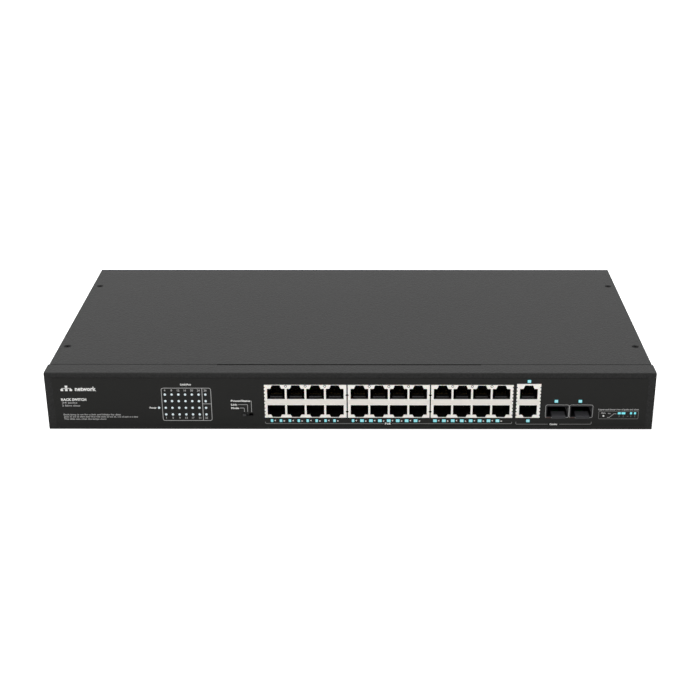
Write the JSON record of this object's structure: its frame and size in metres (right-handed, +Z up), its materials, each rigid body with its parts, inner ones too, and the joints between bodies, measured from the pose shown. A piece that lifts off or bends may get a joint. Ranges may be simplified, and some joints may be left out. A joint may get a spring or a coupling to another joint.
{
  "type": "rackmount network switch",
  "caption": "One-unit rackmount Ethernet switch: sheet-steel case, modular jacks, transceiver cages, status lights, slide switch, cooling fans and rear power inlet.",
  "frame": {"origin": "centre of the case's footprint, on the surface it stands on", "axes": "+X to the right seen from the front (the case's longest extent), +Y to the back, +Z up (its shortest extent)"},
  "size_m": [0.44, 0.24, 0.044],
  "materials": {
    "case_paint": "dark grey textured powder coat",
    "label_film": "near-black matte printed film",
    "ivory_plastic": "satin ivory moulding",
    "black_plastic": "satin black moulding",
    "nickel_steel": "nickel-plated sheet",
    "black_screw": "black oxide",
    "board_green": "solder-masked glass-fibre board",
    "clear_plastic": "clear moulding",
    "aluminium": "milled",
    "brass_pin": "plated",
    "copper_winding": "varnished wire",
    "chip_plastic": "moulded package",
    "can_sleeve": "shrink sleeve",
    "lead_red": "wire sleeve",
    "lead_brown": "wire sleeve",
    "lead_blue": "wire sleeve",
    "lead_green": "wire sleeve"
  },
  "bodies": {
    "root": {"chassis_base": "case_paint", "front_panel": "case_paint", "top_cover": "case_paint", "front_overlay": "label_film", "jack_bezel_1": "ivory_plastic", "jack_body_1": "black_plastic", "magnetics_1": "chip_plastic", "jack_bezel_2": "ivory_plastic", "jack_body_2": "black_plastic", "magnetics_2": "chip_plastic", "jack_bezel_3": "ivory_plastic", "jack_body_3": "black_plastic", "magnetics_3": "chip_plastic", "combo_jack_bezel": "ivory_plastic", "combo_jack_body": "black_plastic", "sfp_cage_1": "nickel_steel", "sfp_connector_1": "black_plastic", "sfp_cage_2": "nickel_steel", "sfp_connector_2": "black_plastic", "mode_switch_body": "black_plastic", "led_light_pipe": "clear_plastic", "main_board": "board_green", "switch_chip": "chip_plastic", "switch_heatsink": "aluminium", "poe_heatsink": "aluminium", "psu_board": "board_green", "psu_transformer": "copper_winding", "psu_bulk_capacitor": "can_sleeve", "psu_line_choke": "copper_winding", "psu_heatsink_1": "aluminium", "psu_heatsink_2": "aluminium", "psu_output_capacitor_1": "can_sleeve", "psu_output_capacitor_2": "can_sleeve", "power_inlet": "black_plastic", "inlet_pin_line": "brass_pin", "inlet_pin_neutral": "brass_pin", "inlet_pin_earth": "brass_pin", "ac_lead_line": "lead_brown", "ac_lead_neutral": "lead_blue", "earth_lead": "lead_green", "dc_harness": "lead_red", "fan_frame_1": "black_plastic", "fan_frame_2": "black_plastic", "cover_screw_1": "black_screw", "cover_screw_2": "black_screw", "cover_screw_3": "black_screw", "cover_screw_4": "black_screw", "board_screw_1": "nickel_steel", "board_screw_2": "nickel_steel", "board_screw_3": "nickel_steel", "board_screw_4": "nickel_steel", "psu_screw_1": "nickel_steel", "psu_screw_2": "nickel_steel", "ground_screw": "nickel_steel", "inlet_screw_1": "nickel_steel", "inlet_screw_2": "nickel_steel"},
    "mode_switch_knob": {"mode_switch_knob": "black_plastic"},
    "fan_rotor_1": {"fan_rotor_1": "black_plastic"},
    "fan_rotor_2": {"fan_rotor_2": "black_plastic"}
  },
  "joints": [
    {"name": "mode_slide", "type": "slide", "parent": "root", "child": "mode_switch_knob", "axis": [1, 0, 0], "range_m": [0, 0.0051]},
    {"name": "fan_spin_1", "type": "hinge", "parent": "root", "child": "fan_rotor_1", "pos_m": [-0.2079, -0.035, 0.022], "axis": [1, 0, 0], "continuous": true},
    {"name": "fan_spin_2", "type": "hinge", "parent": "root", "child": "fan_rotor_2", "pos_m": [-0.2079, 0.01, 0.022], "axis": [1, 0, 0], "continuous": true}
  ]
}
